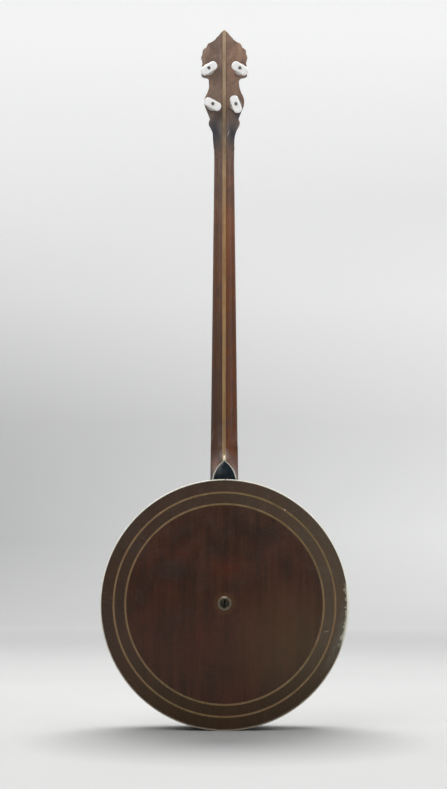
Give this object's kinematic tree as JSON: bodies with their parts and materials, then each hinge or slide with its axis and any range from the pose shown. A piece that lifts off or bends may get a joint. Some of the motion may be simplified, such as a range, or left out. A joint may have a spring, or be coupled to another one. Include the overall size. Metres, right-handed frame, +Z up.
{
  "type": "plectrum banjo",
  "caption": "Long-necked fretted banjo with a skin-like head, a bowl-shaped wooden resonator and geared tuning pegs.",
  "frame": {"origin": "lowest point of the resonator's side wall, where a floor stand's foot carries the banjo, 31 mm in front of the resonator's back edge", "axes": "+Z up along the neck, +X to the right seen from behind, +Y out of the playing face"},
  "size_m": [0.33, 0.0987, 0.9779],
  "materials": {
    "neck_wood": "gloss lacquer",
    "light_wood": "gloss lacquer",
    "resonator_wood": "gloss lacquer",
    "ring_wood": "gloss lacquer",
    "cream_binding": "gloss",
    "black_cap": "gloss",
    "ebony": "satin",
    "rim_wood": "satin",
    "nickel": "aged plating",
    "brass": "satin",
    "steel": "satin",
    "head_film": "matte",
    "bone": "satin",
    "pearl": "gloss",
    "peg_steel": "satin",
    "peg_brass": "satin"
  },
  "bodies": {
    "banjo": {"neck_right_half": "neck_wood", "neck_left_half": "neck_wood", "neck_centre_strip": "light_wood", "bridge_base": "light_wood", "resonator_back": "resonator_wood", "resonator_sidewall": "resonator_wood", "resonator_inlay_rings": "ring_wood", "neck_binding": "cream_binding", "resonator_back_binding": "cream_binding", "resonator_front_binding": "cream_binding", "heel_cap": "black_cap", "peghead_overlay": "black_cap", "fingerboard": "ebony", "bridge_saddle": "ebony", "rim": "rim_wood", "dowel_stick": "rim_wood", "tension_hoop": "nickel", "flange": "nickel", "bracket_hooks": "nickel", "hook_nuts": "nickel", "flesh_hoop": "nickel", "tailpiece_base": "nickel", "tailpiece_spacer": "nickel", "tuner_housings": "nickel", "tuner_nuts": "nickel", "centre_ferrule": "nickel", "tone_ring": "brass", "centre_post": "brass", "tailpiece_hinge_pin": "brass", "frets": "steel", "strings": "steel", "end_bolt": "steel", "neck_brace": "steel", "neck_brace_screws": "steel", "centre_screw": "steel", "head": "head_film", "string_nut": "bone", "position_dots": "pearl"},
    "tailpiece_lid": {"tailpiece_cover": "nickel"},
    "button_upper_left": {"tuner_shaft_upper_left": "peg_steel", "tuner_button_upper_left": "pearl"},
    "post_upper_left": {"string_post_upper_left": "peg_steel"},
    "planet_upper_left_1": {"planet_gear_upper_left_1": "peg_brass"},
    "planet_upper_left_2": {"planet_gear_upper_left_2": "peg_brass"},
    "button_upper_right": {"tuner_shaft_upper_right": "peg_steel", "tuner_button_upper_right": "pearl"},
    "post_upper_right": {"string_post_upper_right": "peg_steel"},
    "planet_upper_right_1": {"planet_gear_upper_right_1": "peg_brass"},
    "planet_upper_right_2": {"planet_gear_upper_right_2": "peg_brass"},
    "button_lower_left": {"tuner_shaft_lower_left": "peg_steel", "tuner_button_lower_left": "pearl"},
    "post_lower_left": {"string_post_lower_left": "peg_steel"},
    "planet_lower_left_1": {"planet_gear_lower_left_1": "peg_brass"},
    "planet_lower_left_2": {"planet_gear_lower_left_2": "peg_brass"},
    "button_lower_right": {"tuner_shaft_lower_right": "peg_steel", "tuner_button_lower_right": "pearl"},
    "post_lower_right": {"string_post_lower_right": "peg_steel"},
    "planet_lower_right_1": {"planet_gear_lower_right_1": "peg_brass"},
    "planet_lower_right_2": {"planet_gear_lower_right_2": "peg_brass"}
  },
  "joints": [
    {"name": "tailpiece_lid_hinge", "type": "hinge", "parent": "banjo", "child": "tailpiece_lid", "pos_m": [0, 0.0544, 0.0199], "axis": [-1, 0, 0], "range_deg": [0, 100]},
    {"name": "turn_upper_left", "type": "hinge", "parent": "banjo", "child": "button_upper_left", "pos_m": [-0.0219, 0.01105, 0.91868], "axis": [0, -0.9781, -0.2079], "continuous": true},
    {"name": "post_turn_upper_left", "type": "hinge", "parent": "banjo", "child": "post_upper_left", "pos_m": [-0.0219, 0.01105, 0.91868], "axis": [0, -0.9781, -0.2079], "continuous": true},
    {"name": "planet_turn_upper_left_1", "type": "hinge", "parent": "post_upper_left", "child": "planet_upper_left_1", "pos_m": [-0.0177, 0.01105, 0.91868], "axis": [0, -0.9781, -0.2079], "continuous": true},
    {"name": "planet_turn_upper_left_2", "type": "hinge", "parent": "post_upper_left", "child": "planet_upper_left_2", "pos_m": [-0.0261, 0.01105, 0.91868], "axis": [0, -0.9781, -0.2079], "continuous": true},
    {"name": "turn_upper_right", "type": "hinge", "parent": "banjo", "child": "button_upper_right", "pos_m": [0.0219, 0.01105, 0.91868], "axis": [0, -0.9781, -0.2079], "continuous": true},
    {"name": "post_turn_upper_right", "type": "hinge", "parent": "banjo", "child": "post_upper_right", "pos_m": [0.0219, 0.01105, 0.91868], "axis": [0, -0.9781, -0.2079], "continuous": true},
    {"name": "planet_turn_upper_right_1", "type": "hinge", "parent": "post_upper_right", "child": "planet_upper_right_1", "pos_m": [0.0261, 0.01105, 0.91868], "axis": [0, -0.9781, -0.2079], "continuous": true},
    {"name": "planet_turn_upper_right_2", "type": "hinge", "parent": "post_upper_right", "child": "planet_upper_right_2", "pos_m": [0.0177, 0.01105, 0.91868], "axis": [0, -0.9781, -0.2079], "continuous": true},
    {"name": "turn_lower_left", "type": "hinge", "parent": "banjo", "child": "button_lower_left", "pos_m": [-0.0164, 0.02149, 0.86958], "axis": [0, -0.9781, -0.2079], "continuous": true},
    {"name": "post_turn_lower_left", "type": "hinge", "parent": "banjo", "child": "post_lower_left", "pos_m": [-0.0164, 0.02149, 0.86958], "axis": [0, -0.9781, -0.2079], "continuous": true},
    {"name": "planet_turn_lower_left_1", "type": "hinge", "parent": "post_lower_left", "child": "planet_lower_left_1", "pos_m": [-0.0122, 0.02149, 0.86958], "axis": [0, -0.9781, -0.2079], "continuous": true},
    {"name": "planet_turn_lower_left_2", "type": "hinge", "parent": "post_lower_left", "child": "planet_lower_left_2", "pos_m": [-0.0206, 0.02149, 0.86958], "axis": [0, -0.9781, -0.2079], "continuous": true},
    {"name": "turn_lower_right", "type": "hinge", "parent": "banjo", "child": "button_lower_right", "pos_m": [0.0164, 0.02149, 0.86958], "axis": [0, -0.9781, -0.2079], "continuous": true},
    {"name": "post_turn_lower_right", "type": "hinge", "parent": "banjo", "child": "post_lower_right", "pos_m": [0.0164, 0.02149, 0.86958], "axis": [0, -0.9781, -0.2079], "continuous": true},
    {"name": "planet_turn_lower_right_1", "type": "hinge", "parent": "post_lower_right", "child": "planet_lower_right_1", "pos_m": [0.0206, 0.02149, 0.86958], "axis": [0, -0.9781, -0.2079], "continuous": true},
    {"name": "planet_turn_lower_right_2", "type": "hinge", "parent": "post_lower_right", "child": "planet_lower_right_2", "pos_m": [0.0122, 0.02149, 0.86958], "axis": [0, -0.9781, -0.2079], "continuous": true}
  ],
  "couplings": [
    {"joint": "post_turn_upper_left", "follows": "turn_upper_left", "ratio": 0.25},
    {"joint": "planet_turn_upper_left_1", "follows": "turn_upper_left", "ratio": -0.75},
    {"joint": "planet_turn_upper_left_2", "follows": "turn_upper_left", "ratio": -0.75},
    {"joint": "post_turn_upper_right", "follows": "turn_upper_right", "ratio": 0.25},
    {"joint": "planet_turn_upper_right_1", "follows": "turn_upper_right", "ratio": -0.75},
    {"joint": "planet_turn_upper_right_2", "follows": "turn_upper_right", "ratio": -0.75},
    {"joint": "post_turn_lower_left", "follows": "turn_lower_left", "ratio": 0.25},
    {"joint": "planet_turn_lower_left_1", "follows": "turn_lower_left", "ratio": -0.75},
    {"joint": "planet_turn_lower_left_2", "follows": "turn_lower_left", "ratio": -0.75},
    {"joint": "post_turn_lower_right", "follows": "turn_lower_right", "ratio": 0.25},
    {"joint": "planet_turn_lower_right_1", "follows": "turn_lower_right", "ratio": -0.75},
    {"joint": "planet_turn_lower_right_2", "follows": "turn_lower_right", "ratio": -0.75}
  ]
}
